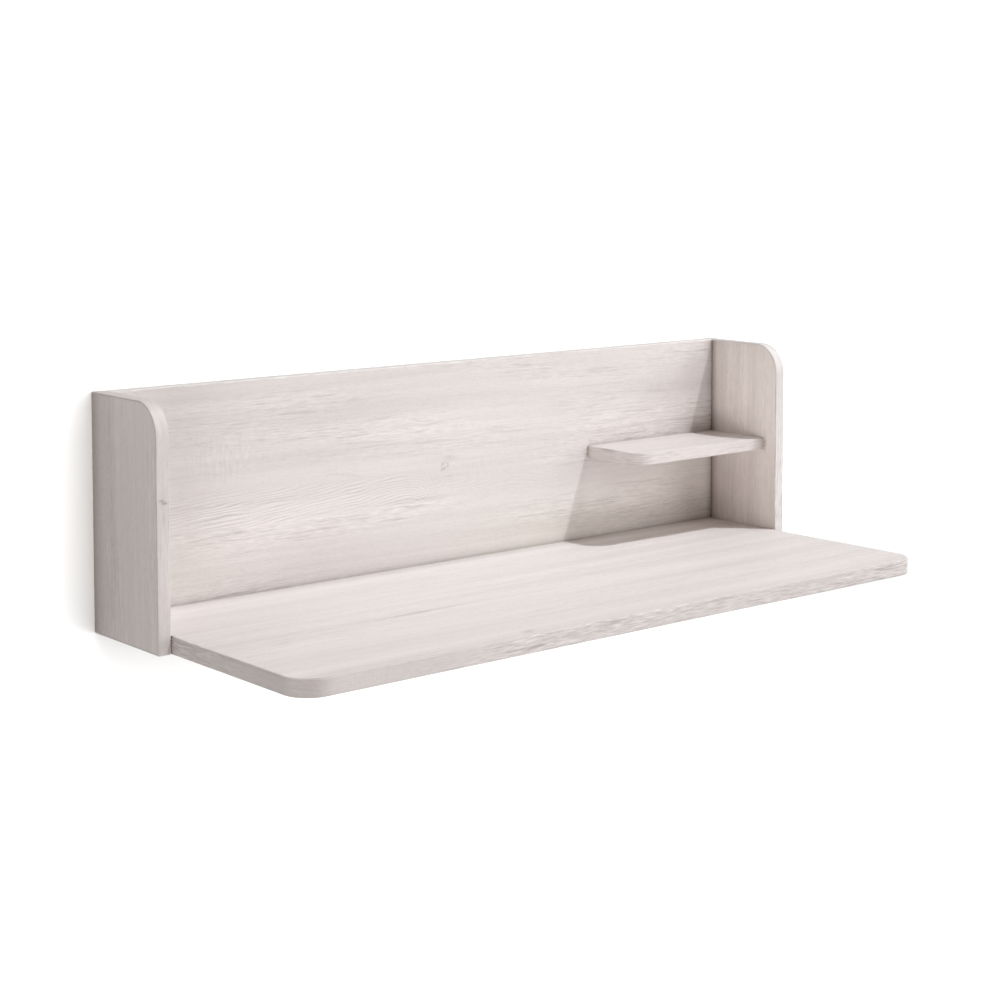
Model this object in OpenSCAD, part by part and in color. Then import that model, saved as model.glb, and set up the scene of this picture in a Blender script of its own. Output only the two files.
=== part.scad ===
// Wall-mounted desk: back panel between two side panels, a deep desktop and a small corner shelf.
// The wall is the plane y = 0 and the desk stands out from it towards -y, with z up.
// The origin is the middle of the four hanging holes, in the plane of the wall.
// Panels are faced chipboard with glued edge bands, held by cams, dowels and screws.

/* [Overall size] */
// Width over the two side panels
width = 1100; // [900:10:1400]
// Height of the back panel and the side panels
height = 305; // [270:5:360]
// Depth from the wall to the front edge of the desktop
desk_depth = 430; // [360:5:520]
// Depth from the wall to the front edge of a side panel
side_depth = 155; // [150:5:220]

/* [Boards] */
// Thickness of a side panel
side_t = 18; // [16:1:25]
// Thickness of the back panel
back_t = 18; // [16:1:22]
// Thickness of the desktop
desk_t = 22; // [18:1:28]
// Thickness of the corner shelf
shelf_t = 18; // [16:1:25]

/* [Rounded corners] */
// Radius of the top front corner of a side panel
side_corner_r = 42; // [20:1:60]
// Radius of the front corners of the desktop, seen from above
desk_corner_r = 35; // [15:1:60]
// Radius of the free front corner of the shelf, seen from above
shelf_corner_r = 28; // [10:1:40]

/* [Edge bands] */
// Thickness of the edge bands
band_t = 2; // [1.6:0.1:3]
// Radius that the long edges of a band are rounded to
arris_r = 1.5; // [0.5:0.1:1.5]
// Radius of a band's cut end where it meets another panel
band_end_r = 1.6; // [0.5:0.1:1.6]

/* [Corner shelf] */
// Length of the shelf from its free end to the right side panel
shelf_length = 264; // [190:2:400]
// Depth of the shelf in front of the back panel
shelf_depth = 112; // [90:1:124]
// Height of the shelf's top face over the bottom edge of the back panel
shelf_top = 161; // [110:1:200]

/* [Hanging plates] */
// Distance from a side panel's outer face to the middle of the nearest hanging plate
hang_inset = 120; // [95:1:140]
// Distance from the top edge down to the upper hanging holes
hang_drop = 62; // [50:1:70]
// Distance from the bottom edge up to the lower hanging holes
hang_rise = 83; // [70:1:90]
// Width of a hanging plate
plate_w = 30; // [26:1:34]
// Length of a hanging plate
plate_l = 64; // [60:1:70]
// Thickness of a hanging plate
plate_t = 2; // [1.5:0.1:3]
// Diameter of the hole that a wall screw's head goes in through
keyhole_d = 10.5; // [9:0.1:12]
// Width of the slot that a wall screw's shank slides up
keyslot_w = 5.5; // [4.5:0.1:6]
// Height from the middle of the head hole to the middle of the slot's closed end
keyslot_rise = 12; // [9:0.5:14]
// Depth of the pocket behind a plate, for the wall screw's head
pocket_depth = 8; // [5:0.5:9]

/* [Cams and bolts] */
// Diameter of a cam's hole
cam_d = 15; // [14:0.1:16]
// Distance from a board's end to the middle of a cam
cam_setback = 34; // [28:1:36]
// Diameter of the hole that a cam bolt goes through in a board's end
bolt_hole_d = 8; // [7.6:0.1:9]
// Diameter of a cam bolt's thread
bolt_thread_d = 5; // [4:0.1:6]
// Length of a cam bolt's thread in the side panel
bolt_thread_l = 11; // [8:0.5:12]
// Distance from the top or bottom edge to the nearest cam of the back panel
back_cam_inset = 60; // [50:1:75]
// Distance from the back panel or the side panel's front edge to the nearest cam of the desktop
desk_cam_inset = 34; // [25:1:40]

/* [Dowels] */
// Diameter of a dowel
dowel_d = 8; // [6:0.5:9]
// Length of a dowel
dowel_l = 30; // [26:1:34]
// Length of a dowel that is in the side panel or the back panel
dowel_seat = 10; // [8:0.5:12]

/* [Screws] */
// Diameter of a panel screw's thread
screw_d = 7; // [5:0.5:7]
// Length of a panel screw with its head
screw_l = 50; // [42:1:60]
// Diameter of a panel screw's head
screw_head_d = 10; // [8.5:0.5:11]
// Number of panel screws along the back of the desktop
desk_screws = 5; // [3:1:7]
// Distance from a side panel's inner face to the nearest panel screw
screw_inset = 60; // [52:1:70]
// Diameter of a hanging plate's screw
plate_screw_d = 3.5; // [3:0.1:4]
// Length of a hanging plate's screw with its head
plate_screw_l = 13; // [10:1:14]

/* [Hidden] */
$fn = 48;

// Gap all round a fitting in its drilled hole
fit = 0.1;
// Gap round a hanging plate in its recess
plate_fit = 0.2;
// Extra reach of a cutting tool past the face that it opens
through = 1;
// Free length of a dowel hole past the dowel's end
dowel_relief = 1;
// Length of the chamfer on a dowel's or a screw's end
end_chamfer = 1;

// Colours of the boards and the fittings
laminate_colour = [0.86, 0.83, 0.82];
band_colour = [0.83, 0.80, 0.79];
steel_colour = [0.72, 0.73, 0.75];
zinc_colour = [0.62, 0.63, 0.64];
beech_colour = [0.85, 0.72, 0.55];

// Inner faces of the side panels, and the front and free ends of the shelf
inner_x = width / 2 - side_t;
shelf_x = inner_x - shelf_length;
shelf_front = back_t + shelf_depth;

// Hanging holes, and their middle, which is the origin
hang_x = width / 2 - hang_inset;
hang_top = height - hang_drop;
datum_z = (hang_top + hang_rise) / 2;

// Middle planes of the boards that fittings go into
back_mid = back_t / 2;
desk_mid = desk_t / 2;
shelf_mid = shelf_top - shelf_t / 2;

// Heights of the cams and dowels where the back panel meets a side panel
back_cam_z = [back_cam_inset, height - back_cam_inset];
back_dowel_z = [for (k = [1, 2]) back_cam_z[0] + k * (back_cam_z[1] - back_cam_z[0]) / 3];

// Distances from the wall of the cams and dowel where the desktop meets a side panel
desk_cam_y = [back_t + desk_cam_inset, side_depth - desk_cam_inset];
desk_dowel_y = [(desk_cam_y[0] + desk_cam_y[1]) / 2];

// Screws and dowels along the back edge of the desktop
screw_reach = inner_x - screw_inset;
screw_pitch = 2 * screw_reach / (desk_screws - 1);
desk_screw_x = [for (k = [0 : desk_screws - 1]) k * screw_pitch - screw_reach];
desk_dowel_x = [for (k = [0 : desk_screws - 2]) (k + 0.5) * screw_pitch - screw_reach];

// Screws through the back panel into the shelf, and dowels from the right side panel
shelf_screw_inset = 45;
shelf_screw_x = [shelf_x + shelf_screw_inset, screw_reach];
shelf_dowel_inset = 28;
shelf_dowel_y = [back_t + shelf_dowel_inset, shelf_front - shelf_dowel_inset];

// Parts of a cam: the head's chamber lies off centre, so turning the cam draws the bolt in
cam_r = cam_d / 2 - fit;
cam_throw = 1;
cam_rim = 1.8;
chamber_r = cam_r - cam_rim;
cam_floor = 0.8;
cross_l = 6.6;
cross_w = 1.6;
cross_depth = 3;

// Parts of a cam bolt
bolt_head_d = 6.8;
bolt_head_l = 3;
bolt_neck_d = 3.6;
bolt_shank_d = 5.8;
bolt_collar_d = bolt_hole_d - 4 * fit;
bolt_collar_l = 1.5;
chamber_h = bolt_head_d + 4 * fit;
mouth_d = bolt_head_d + 2 * fit;
neck_slot = bolt_neck_d + 4 * fit;

// Where the rim of a bolt's head rests on the chamber's round wall, from the middle of the cam
head_seat = sqrt(pow(chamber_r, 2) - pow(bolt_head_d / 2 + fit, 2)) - cam_throw;
bolt_shoulder = cam_setback - head_seat;
bolt_neck_start = cam_setback - cam_d / 2 - fit;

// Turns of a cam's slot from the bolt to its two ends, and of the mouth that lets the head in
slot_start = -25;
slot_end = 155;

// Parts of the screws
socket_d = 4.6;
socket_depth = 3;
plate_screw_head_d = 2 * plate_screw_d;
plate_screw_inset = 8;
pocket_margin = 4;
plate_corner_r = 5;

// Lifts a piece drawn from the bottom edge of the desk to the frame of the origin
module on_datum() {
  translate([0, 0, -datum_z]) children();
}

// Stands a board drawn flat, x = distance from the wall and y = height, as a left side panel
module stand_left() {
  translate([-inner_x, 0, 0]) rotate([90, 0, -90]) children();
}

// Stands a board drawn flat, x across and y = height, with its z = 0 face against the wall
module stand_back() {
  rotate([90, 0, 0]) children();
}

// The waste outside a rounded corner at the origin, whose body lies towards -x and -y
module corner_waste(r) {
  difference() {
    translate([-r, -r]) square(r + through);
    translate([-r, -r]) circle(r);
  }
}

// Section of an edge band: x is outwards from the glued face and y across the board
module band_section(board_t) {
  difference() {
    square([band_t, board_t]);
    translate([band_t, board_t]) corner_waste(arris_r);
    translate([band_t, 0]) mirror([0, 1]) corner_waste(arris_r);
  }
}

// Straight stretch of band on a flat board, facing outwards at an angle and running clockwise
module band_run(board_t, start, facing, length) {
  translate([start[0], start[1], 0]) rotate([0, 0, facing + 90]) rotate([90, 0, -90])
    linear_extrude(length) band_section(board_t);
}

// Quarter turn of band on a flat board, with outer radius r about a centre
module band_bend(board_t, centre, facing, r) {
  translate([centre[0], centre[1], 0]) rotate([0, 0, facing])
    rotate_extrude(angle = 90) translate([r - band_t, 0]) band_section(board_t);
}

// Hole of depth z upwards from the origin, opened past its mouth
module drill(d, depth) {
  translate([0, 0, -through]) cylinder(d = d, h = depth + through);
}

// Places a tool at a point, with its z axis towards +x, -x, -y or +y
module face_right(p) { translate(p) rotate([0, 90, 0]) children(); }
module face_left(p) { translate(p) rotate([0, -90, 0]) children(); }
module face_front(p) { translate(p) rotate([90, 0, 0]) children(); }
module face_wall(p) { translate(p) rotate([-90, 0, 0]) children(); }

// Copies what is drawn for the left side panel to the right one
module both_sides() {
  children();
  mirror([1, 0, 0]) children();
}

// Dowel along z, from z = 0 in the board that it is glued in, with chamfered ends
module dowel() {
  cylinder(d1 = dowel_d - 2 * end_chamfer, d2 = dowel_d, h = end_chamfer);
  translate([0, 0, end_chamfer]) cylinder(d = dowel_d, h = dowel_l - 2 * end_chamfer);
  translate([0, 0, dowel_l - end_chamfer])
    cylinder(d1 = dowel_d, d2 = dowel_d - 2 * end_chamfer, h = end_chamfer);
}

// Hole for the end of a dowel, from the board's face to just past the dowel
module dowel_hole(length) {
  drill(dowel_d + 2 * fit, length + dowel_relief);
}

// Cam with its slotted face at z = 0 and its bolt coming in along x at a height
module cam(axis_h) {
  difference() {
    cylinder(r = cam_r, h = axis_h + chamber_h / 2 + cam_floor);
    translate([-cam_throw, 0, axis_h - chamber_h / 2]) cylinder(r = chamber_r, h = chamber_h);
    translate([0, 0, axis_h - neck_slot / 2]) rotate([0, 0, slot_start])
      translate([-cam_d, 0, 0]) cube([2 * cam_d, cam_d, neck_slot]);
    rotate([0, 0, slot_end]) face_right([0, 0, axis_h]) cylinder(d = mouth_d, h = cam_d);
    for (turn = [0, 90]) {
      rotate([0, 0, turn]) translate([-cross_l / 2, -cross_w / 2, -through])
        cube([cross_l, cross_w, cross_depth + through]);
    }
  }
}

// Hole for a cam, from the board's face
module cam_hole(axis_h) {
  drill(cam_d, axis_h + chamber_h / 2 + cam_floor);
}

// Cam bolt along z: the thread is below z = 0 and the head is held in the cam
module cam_bolt() {
  translate([0, 0, -bolt_thread_l]) cylinder(d = bolt_thread_d, h = bolt_thread_l);
  cylinder(d = bolt_collar_d, h = bolt_collar_l);
  cylinder(d = bolt_shank_d, h = bolt_neck_start);
  cylinder(d = bolt_neck_d, h = bolt_shoulder);
  translate([0, 0, bolt_shoulder]) cylinder(d1 = bolt_head_d, d2 = bolt_neck_d, h = bolt_head_l);
}

// Countersunk panel screw along z, with the flat of its head at z = 0
module panel_screw() {
  head_l = (screw_head_d - screw_d) / 2;
  difference() {
    union() {
      cylinder(d1 = screw_head_d, d2 = screw_d, h = head_l);
      cylinder(d = screw_d, h = screw_l - 2 * end_chamfer);
      translate([0, 0, screw_l - 2 * end_chamfer])
        cylinder(d1 = screw_d, d2 = screw_d - 2 * end_chamfer, h = 2 * end_chamfer);
    }
    translate([0, 0, -through]) cylinder(d = socket_d, h = socket_depth + through, $fn = 6);
  }
}

// Countersunk hole for a panel screw, as the screw cuts it
module panel_screw_hole() {
  head_l = (screw_head_d - screw_d) / 2;
  drill(screw_d + 2 * fit, screw_l + dowel_relief);
  cylinder(d1 = screw_head_d + 2 * fit, d2 = screw_d + 2 * fit, h = head_l);
  translate([0, 0, -through]) cylinder(d = screw_head_d + 2 * fit, h = through);
}

// Outline of a hanging plate, grown by a gap, with the head hole at its origin
module plate_outline(gap) {
  translate([-plate_w / 2 - gap, keyslot_rise / 2 - plate_l / 2 - gap])
    difference() {
      square([plate_w + 2 * gap, plate_l + 2 * gap]);
      for (sx = [0, 1], sy = [0, 1]) {
        translate([sx * (plate_w + 2 * gap), sy * (plate_l + 2 * gap)])
          mirror([1 - sx, 0]) mirror([0, 1 - sy]) corner_waste(plate_corner_r + gap);
      }
    }
}

// Keyhole in a plate: the round hole for the head, and the slot above it
module keyhole() {
  circle(d = keyhole_d);
  translate([0, keyslot_rise]) circle(d = keyslot_w);
  translate([-keyslot_w / 2, 0]) square([keyslot_w, keyslot_rise]);
}

// Heights of a plate's two screws over its head hole
function plate_screw_z() = [
  for (s = [-1, 1]) keyslot_rise / 2 + s * (plate_l / 2 - plate_screw_inset)
];

// Hanging plate with its outer face at z = 0 and y up
module hanging_plate() {
  difference() {
    linear_extrude(plate_t) difference() {
      plate_outline(0);
      keyhole();
    }
    for (h = plate_screw_z()) {
      translate([0, h, 0]) plate_screw_hole();
    }
  }
}

// Recess for a hanging plate, the pocket behind it and the holes of its screws
module hanging_plate_seat() {
  translate([0, 0, -through]) linear_extrude(plate_t + through) plate_outline(plate_fit);
  for (h = [0, keyslot_rise]) {
    translate([0, h, 0]) drill(keyhole_d + pocket_margin, plate_t + pocket_depth);
  }
  translate([-(keyhole_d + pocket_margin) / 2, 0, 0])
    cube([keyhole_d + pocket_margin, keyslot_rise, plate_t + pocket_depth]);
  for (h = plate_screw_z()) {
    translate([0, h, 0]) plate_screw_hole();
  }
}

// Countersunk screw of a hanging plate along z, with the flat of its head at z = 0
module plate_screw() {
  head_l = (plate_screw_head_d - plate_screw_d) / 2;
  cylinder(d1 = plate_screw_head_d, d2 = plate_screw_d, h = head_l);
  cylinder(d = plate_screw_d, h = plate_screw_l - end_chamfer);
  translate([0, 0, plate_screw_l - end_chamfer])
    cylinder(d1 = plate_screw_d, d2 = plate_screw_d - 2 * end_chamfer, h = end_chamfer);
}

// Countersunk hole for a hanging plate's screw, as the screw cuts it
module plate_screw_hole() {
  head_l = (plate_screw_head_d - plate_screw_d) / 2;
  drill(plate_screw_d + 2 * fit, plate_screw_l + dowel_relief);
  cylinder(d1 = plate_screw_head_d + 2 * fit, d2 = plate_screw_d + 2 * fit, h = head_l);
}

// Points of the four hanging plates on the wall face
module at_hanging_points() {
  for (sx = [-1, 1], h = [hang_rise, hang_top]) {
    face_front([sx * hang_x, 0, h]) children();
  }
}

// Holes in a left side panel for the bolts and dowels of the back panel and the desktop
module side_joint_holes() {
  for (h = back_cam_z) {
    face_left([-inner_x, -back_mid, h]) drill(bolt_thread_d + 2 * fit, bolt_thread_l);
  }
  for (h = back_dowel_z) {
    face_left([-inner_x, -back_mid, h]) dowel_hole(dowel_seat);
  }
  for (y = desk_cam_y) {
    face_left([-inner_x, -y, desk_mid]) drill(bolt_thread_d + 2 * fit, bolt_thread_l);
  }
  for (y = desk_dowel_y) {
    face_left([-inner_x, -y, desk_mid]) dowel_hole(dowel_seat);
  }
}

// Board of a left side panel, without its edge bands
module side_board() {
  difference() {
    stand_left() linear_extrude(side_t) difference() {
      translate([0, band_t]) square([side_depth - band_t, height - 2 * band_t]);
      translate([side_depth - band_t, height - band_t]) corner_waste(side_corner_r - band_t);
    }
    side_joint_holes();
  }
}

// Band of a left side panel: along the top, round the corner and down the front
module side_edge_band() {
  r = side_corner_r;
  stand_left() {
    band_run(side_t, [0, height - band_t], 90, side_depth - r);
    band_bend(side_t, [side_depth - r, height - r], 0, r);
    band_run(side_t, [side_depth - band_t, height - r], 0, height - r);
  }
}

// Band under a left side panel, behind the front band
module side_bottom_band() {
  stand_left() band_run(side_t, [side_depth - band_t, band_t], -90, side_depth - band_t);
}

// Holes for the fittings at the desktop's two ends
module desktop_end_holes() {
  both_sides() {
    for (y = desk_cam_y) {
      face_right([-inner_x, -y, desk_mid]) drill(bolt_hole_d, cam_setback);
      translate([-inner_x + cam_setback, -y, 0]) cam_hole(desk_mid);
    }
    for (y = desk_dowel_y) {
      face_right([-inner_x, -y, desk_mid]) dowel_hole(dowel_l - dowel_seat);
    }
  }
}

// Holes for the screws and dowels between the back panel and the desktop
module desktop_rear_holes() {
  for (x = desk_screw_x) {
    face_front([x, 0, desk_mid]) panel_screw_hole();
  }
  for (x = desk_dowel_x) {
    face_front([x, -back_t, desk_mid]) dowel_hole(dowel_l - dowel_seat);
    face_wall([x, -back_t, desk_mid]) dowel_hole(dowel_seat);
  }
}

// Holes for the screws between the back panel and the shelf
module shelf_screw_holes() {
  for (x = shelf_screw_x) {
    face_front([x, 0, shelf_mid]) panel_screw_hole();
  }
}

// Holes for the dowels between the right side panel and the shelf
module shelf_end_holes() {
  for (y = shelf_dowel_y) {
    face_right([inner_x, -y, shelf_mid]) dowel_hole(dowel_seat);
    face_left([inner_x, -y, shelf_mid]) dowel_hole(dowel_l - dowel_seat);
  }
}

// Outline of the shelf with its free corner rounded, taken in by an amount on the banded edges
module shelf_outline(inset) {
  difference() {
    translate([shelf_x + inset, inset - shelf_front]) square([shelf_length - inset, shelf_depth - inset]);
    translate([shelf_x + inset, inset - shelf_front])
      mirror([1, 0]) mirror([0, 1]) corner_waste(shelf_corner_r - inset);
  }
}

module left_side_panel() {
  color(laminate_colour) on_datum() side_board();
}

module right_side_panel() {
  color(laminate_colour) on_datum() difference() {
    mirror([1, 0, 0]) side_board();
    shelf_end_holes();
  }
}

module back_panel() {
  color(laminate_colour) on_datum() difference() {
    stand_back() translate([-inner_x, band_t, 0]) cube([2 * inner_x, height - 2 * band_t, back_t]);
    both_sides() {
      for (h = back_cam_z) {
        face_right([-inner_x, -back_mid, h]) drill(bolt_hole_d, cam_setback);
        face_front([-inner_x + cam_setback, 0, h]) cam_hole(back_mid);
      }
      for (h = back_dowel_z) {
        face_right([-inner_x, -back_mid, h]) dowel_hole(dowel_l - dowel_seat);
      }
    }
    desktop_rear_holes();
    shelf_screw_holes();
    at_hanging_points() hanging_plate_seat();
  }
}

module desktop() {
  r = desk_corner_r - band_t;
  color(laminate_colour) on_datum() difference() {
    linear_extrude(desk_t) difference() {
      translate([band_t - inner_x, band_t - desk_depth])
        square([2 * (inner_x - band_t), desk_depth - band_t - back_t]);
      translate([inner_x - band_t, band_t - desk_depth]) mirror([0, 1]) corner_waste(r);
      translate([band_t - inner_x, band_t - desk_depth])
        mirror([1, 0]) mirror([0, 1]) corner_waste(r);
    }
    desktop_end_holes();
    desktop_rear_holes();
  }
}

module corner_shelf() {
  color(laminate_colour) on_datum() difference() {
    translate([0, 0, shelf_top - shelf_t]) linear_extrude(shelf_t) shelf_outline(band_t);
    shelf_screw_holes();
    shelf_end_holes();
  }
}

module left_side_edge_band() {
  color(band_colour) on_datum() side_edge_band();
}

module right_side_edge_band() {
  color(band_colour) on_datum() mirror([1, 0, 0]) side_edge_band();
}

module left_side_bottom_band() {
  color(band_colour) on_datum() side_bottom_band();
}

module right_side_bottom_band() {
  color(band_colour) on_datum() mirror([1, 0, 0]) side_bottom_band();
}

module back_panel_top_band() {
  color(band_colour) on_datum() stand_back()
    band_run(back_t, [-inner_x, height - band_t], 90, 2 * inner_x);
}

module back_panel_bottom_band() {
  color(band_colour) on_datum() stand_back() band_run(back_t, [inner_x, band_t], -90, 2 * inner_x);
}

// One band round the desktop's left end, front and right end
module desktop_edge_band() {
  r = desk_corner_r;
  end_l = desk_depth - r - back_t;
  color(band_colour) on_datum() difference() {
    union() {
      band_run(desk_t, [inner_x - band_t, -back_t], 0, end_l);
      band_bend(desk_t, [inner_x - r, r - desk_depth], -90, r);
      band_run(desk_t, [inner_x - r, band_t - desk_depth], -90, 2 * (inner_x - r));
      band_bend(desk_t, [r - inner_x, r - desk_depth], 180, r);
      band_run(desk_t, [band_t - inner_x, r - desk_depth], 180, end_l);
    }
    desktop_end_holes();
  }
}

// One band along the shelf's front and round its free end, with both cut ends rounded
module shelf_edge_band() {
  r = shelf_corner_r;
  color(band_colour) on_datum() translate([0, 0, shelf_top - shelf_t]) difference() {
    union() {
      band_run(shelf_t, [inner_x, band_t - shelf_front], -90, shelf_length - r);
      band_bend(shelf_t, [shelf_x + r, r - shelf_front], 180, r);
      band_run(shelf_t, [shelf_x + band_t, r - shelf_front], 180, shelf_depth - r);
    }
    translate([0, 0, -through]) linear_extrude(shelf_t + 2 * through) {
      translate([inner_x, -shelf_front]) mirror([0, 1]) corner_waste(band_end_r);
      translate([shelf_x, -back_t]) mirror([1, 0]) corner_waste(band_end_r);
    }
  }
}

module back_panel_cams() {
  color(zinc_colour) on_datum() both_sides() {
    for (h = back_cam_z) {
      face_front([-inner_x + cam_setback, 0, h]) rotate([0, 0, 180]) cam(back_mid);
    }
  }
}

module back_panel_cam_bolts() {
  color(steel_colour) on_datum() both_sides() {
    for (h = back_cam_z) {
      face_right([-inner_x, -back_mid, h]) cam_bolt();
    }
  }
}

module back_panel_end_dowels() {
  color(beech_colour) on_datum() both_sides() {
    for (h = back_dowel_z) {
      face_right([-inner_x - dowel_seat, -back_mid, h]) dowel();
    }
  }
}

module desktop_cams() {
  color(zinc_colour) on_datum() both_sides() {
    for (y = desk_cam_y) {
      translate([-inner_x + cam_setback, -y, 0]) rotate([0, 0, 180]) cam(desk_mid);
    }
  }
}

module desktop_cam_bolts() {
  color(steel_colour) on_datum() both_sides() {
    for (y = desk_cam_y) {
      face_right([-inner_x, -y, desk_mid]) cam_bolt();
    }
  }
}

module desktop_end_dowels() {
  color(beech_colour) on_datum() both_sides() {
    for (y = desk_dowel_y) {
      face_right([-inner_x - dowel_seat, -y, desk_mid]) dowel();
    }
  }
}

module desktop_rear_screws() {
  color(steel_colour) on_datum() {
    for (x = desk_screw_x) {
      face_front([x, 0, desk_mid]) panel_screw();
    }
  }
}

module desktop_rear_dowels() {
  color(beech_colour) on_datum() {
    for (x = desk_dowel_x) {
      face_front([x, dowel_seat - back_t, desk_mid]) dowel();
    }
  }
}

module shelf_screws() {
  color(steel_colour) on_datum() {
    for (x = shelf_screw_x) {
      face_front([x, 0, shelf_mid]) panel_screw();
    }
  }
}

module shelf_end_dowels() {
  color(beech_colour) on_datum() {
    for (y = shelf_dowel_y) {
      face_left([inner_x + dowel_seat, -y, shelf_mid]) dowel();
    }
  }
}

module hanging_plates() {
  color(steel_colour) on_datum() at_hanging_points() hanging_plate();
}

module hanging_plate_screws() {
  color(steel_colour) on_datum() at_hanging_points() {
    for (h = plate_screw_z()) {
      translate([0, h, 0]) plate_screw();
    }
  }
}

left_side_panel();
right_side_panel();
back_panel();
desktop();
corner_shelf();
left_side_edge_band();
right_side_edge_band();
left_side_bottom_band();
right_side_bottom_band();
back_panel_top_band();
back_panel_bottom_band();
desktop_edge_band();
shelf_edge_band();
back_panel_cams();
back_panel_cam_bolts();
back_panel_end_dowels();
desktop_cams();
desktop_cam_bolts();
desktop_end_dowels();
desktop_rear_screws();
desktop_rear_dowels();
shelf_screws();
shelf_end_dowels();
hanging_plates();
hanging_plate_screws();
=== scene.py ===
import math
import bpy
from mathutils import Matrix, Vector


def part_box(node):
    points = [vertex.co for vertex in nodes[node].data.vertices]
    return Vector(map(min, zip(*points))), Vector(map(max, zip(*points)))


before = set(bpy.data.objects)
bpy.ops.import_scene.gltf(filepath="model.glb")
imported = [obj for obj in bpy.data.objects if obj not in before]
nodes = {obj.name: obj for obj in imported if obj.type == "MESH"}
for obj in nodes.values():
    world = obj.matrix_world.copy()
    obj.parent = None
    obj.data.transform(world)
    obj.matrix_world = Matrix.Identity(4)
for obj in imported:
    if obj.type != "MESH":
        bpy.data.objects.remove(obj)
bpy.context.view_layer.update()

X, Y, Z = 0, 1, 2
AXES = "xyz"
UP, DOWN = 1, -1


def middle_of(node, axis):
    """The middle plane of a board."""
    low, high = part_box(node)
    return (low[axis] + high[axis]) / 2


# the boards' own planes
BACK_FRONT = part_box("back_panel")[0].y
DESK_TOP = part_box("desktop")[1].z
SHELF_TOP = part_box("corner_shelf")[1].z
SHELF_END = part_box("corner_shelf")[0].x
INNER_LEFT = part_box("left_side_panel")[1].x
INNER_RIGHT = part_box("right_side_panel")[0].x
SIDE_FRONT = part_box("left_side_panel")[0].y
BACK_MIDDLE = middle_of("back_panel", Y)
DESK_MIDDLE = middle_of("desktop", Z)
SHELF_MIDDLE = middle_of("corner_shelf", Z)
LEFT_MIDDLE = middle_of("left_side_panel", X)
RIGHT_MIDDLE = middle_of("right_side_panel", X)

# a camera close to the photograph's own, which is level and slides its frame further down
# its sensor is in millimetres, and its focal length in the photo's pixels
SENSOR = 36.0
PHOTO_WIDTH = 1000.0
FOCAL_PX = 2054.39
CAMERA_AT = Vector((-1.7891, -2.2750, 0.4530))
CAMERA_TURN = math.radians(39.8902)
CAMERA_DIP = math.radians(4.1502)
LENS_SHIFT = -0.21
FARTHEST_SEEN = 50.0

# the wall, the curve at its foot and the floor
WALL_GAP = 0.001
FLOOR_DROP = 0.74
COVE_RADIUS = 0.35
COVE_STEPS = 24
STAGE_HALF = 5.0
WALL_TOP = 3.0
BACKDROP_WHITE = 0.95
WALL_BOUNCE = 0.12
FLOOR_BOUNCE = 0.2
MIRRORED_WHITE = 0.3
# the lamps alone light the backdrop inside a room of this half size, and its glow starts at this share of it
GLOW_SIZE = (1.05, 1.05, 0.49)
GLOW_START = 0.72
GLOW_STRENGTH = 1.02

# the key lamp is as narrow as a distant window, so the shelf's shadow keeps its edge
KEY_TRAVEL = (-0.338, 0.372, -1.0)
KEY_STRENGTH = 1.85
KEY_ANGLE = math.radians(2.4)
KEY_COLOUR = (0.95, 1.0, 1.03)
SOFT_KEY_TRAVEL = (-0.45, 0.35, -1.0)
SOFT_KEY_STRENGTH = 0.32
SOFT_KEY_ANGLE = math.radians(14)
ROOM_LIGHT = 0.16
ROOM_COLOUR = (1.12, 1.0, 0.82, 1)
MIDDLE = (0.0, -0.15, 0.0)
LAMP_DISTANCE = 3.4
WALL_BELOW = (0.2, 0.0, -0.6)
FLOOR_RIGHT = (1.0, -0.2, -0.8)


def round_desk(right, up):
    """A lamp's place, so many degrees to the right of the desk's front and so many up."""
    right, up = math.radians(right), math.radians(up)
    level = LAMP_DISTANCE * math.cos(up)
    away = Vector((level * math.sin(right), -level * math.cos(right), LAMP_DISTANCE * math.sin(up)))
    return Vector(MIDDLE) + away


# name, place, aim, width, watts, and whether it lights the desk or the wall
# the watts come partly from a fit to the tones of the photographed faces
LIGHTS = [
    ("low_front", round_desk(5, -15), MIDDLE, 1.8, 25.0, "desk"),
    ("low_left", round_desk(-55, -15), MIDDLE, 1.6, 74.0, "desk"),
    ("right_front", round_desk(38, 12), MIDDLE, 1.8, 29.0, "desk"),
    ("right_side", round_desk(80, 12), MIDDLE, 1.6, 33.0, "desk"),
    ("high_right", round_desk(55, 42), MIDDLE, 1.8, 7.5, "desk"),
    ("high_left", round_desk(-70, 35), MIDDLE, 1.6, 9.0, "desk"),
    ("rear", (0.0, 2.60, -0.02), MIDDLE, 1.0, 60.0, "desk"),
    ("wall_front", (0.0, -2.60, 0.40), MIDDLE, 3.5, 123.0, "wall"),
    ("wall_below", (0.2, -2.0, -0.5), WALL_BELOW, 1.6, 27.0, "wall"),
    ("floor_right", (1.7, -1.7, 0.5), FLOOR_RIGHT, 1.4, 24.0, "wall"),
]

# the whitewashed oak print, board by board, and its cream parts
# the boards' colours differ to make up for the lamps, so they hold painted light and shade:
# lit and shaded copies of one oak colour, lighter on the side panels' shaded faces
OAK = (0.742, 0.695, 0.684)
CREAM = (0.745, 0.697, 0.664)
DESK_OAK = (0.732, 0.682, 0.669)
DESK_FRONT_OAK = (0.751, 0.690, 0.674)
SHELF_OAK = (0.748, 0.683, 0.671)
LEFT_OAK = (0.862, 0.790, 0.772)
RIGHT_OAK = (0.880, 0.808, 0.778)
LEFT_BAND_OAK = (0.652, 0.599, 0.586)
DESK_BAND_OAK = (0.687, 0.630, 0.617)
SHELF_BAND_OAK = (0.732, 0.674, 0.662)
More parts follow.
